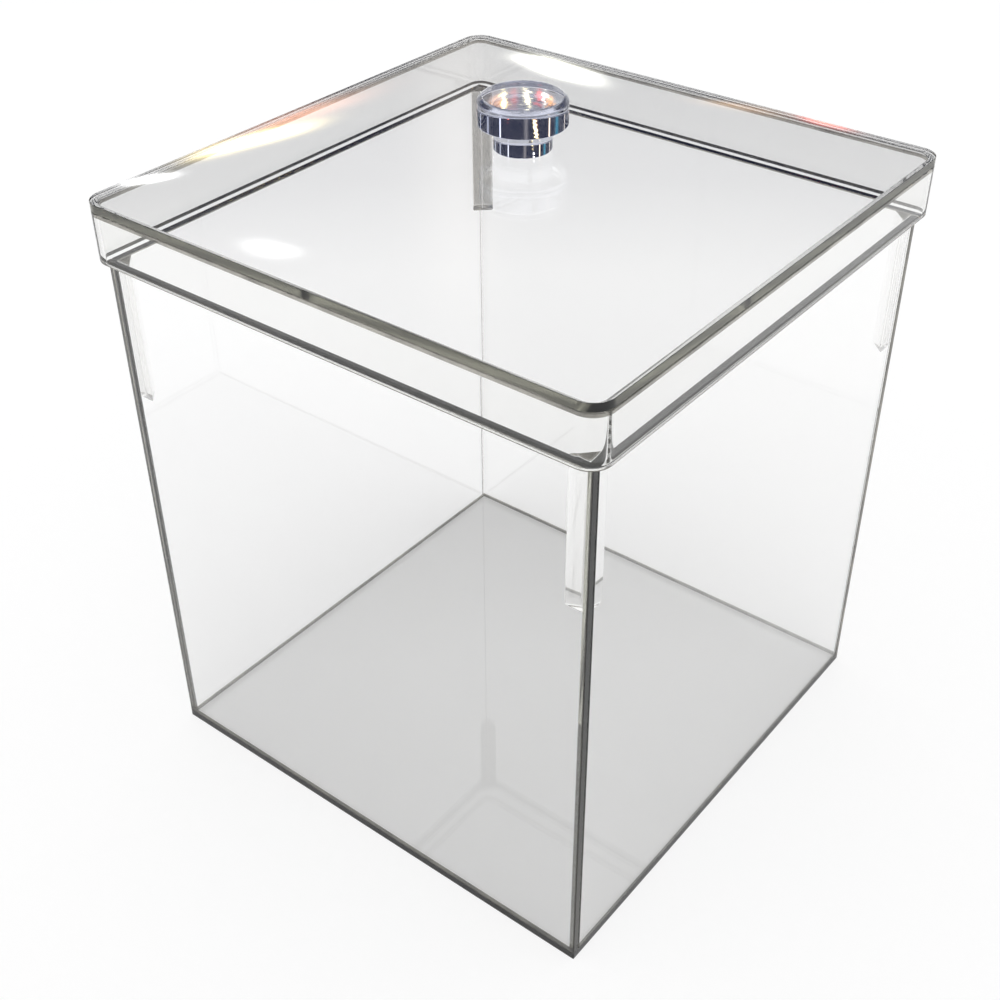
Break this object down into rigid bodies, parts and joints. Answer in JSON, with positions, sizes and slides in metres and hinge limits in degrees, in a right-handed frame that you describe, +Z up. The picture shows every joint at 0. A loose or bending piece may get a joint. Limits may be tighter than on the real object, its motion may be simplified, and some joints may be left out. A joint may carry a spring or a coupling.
{
  "type": "candy bin",
  "caption": "Clear square acrylic candy bin: base, four butt-jointed walls, corner posts at the rim, and a lift-off lid with a rounded skirt and a turned two-step knob.",
  "frame": {"origin": "centre of the bin's underside, on the table", "axes": "+Z up; -Y is the front panel, +X the right panel; the bin is square about the Z axis"},
  "size_m": [0.208, 0.208, 0.255],
  "materials": {
    "bin_acrylic": "polished",
    "lid_acrylic": "polished",
    "knob_acrylic": "polished"
  },
  "bodies": {
    "bin": {"base_panel": "bin_acrylic", "front_panel": "bin_acrylic", "back_panel": "bin_acrylic", "left_panel": "bin_acrylic", "right_panel": "bin_acrylic", "post_front_left": "bin_acrylic", "post_front_right": "bin_acrylic", "post_back_left": "bin_acrylic", "post_back_right": "bin_acrylic"},
    "lid": {"lid_skirt": "lid_acrylic", "lid_top_plate": "lid_acrylic", "knob_neck": "knob_acrylic", "knob_head": "knob_acrylic"}
  },
  "joints": [
    {"name": "lid_lift", "type": "slide", "parent": "bin", "child": "lid", "axis": [0, 0, 1], "range_m": [0, 0.08]}
  ]
}
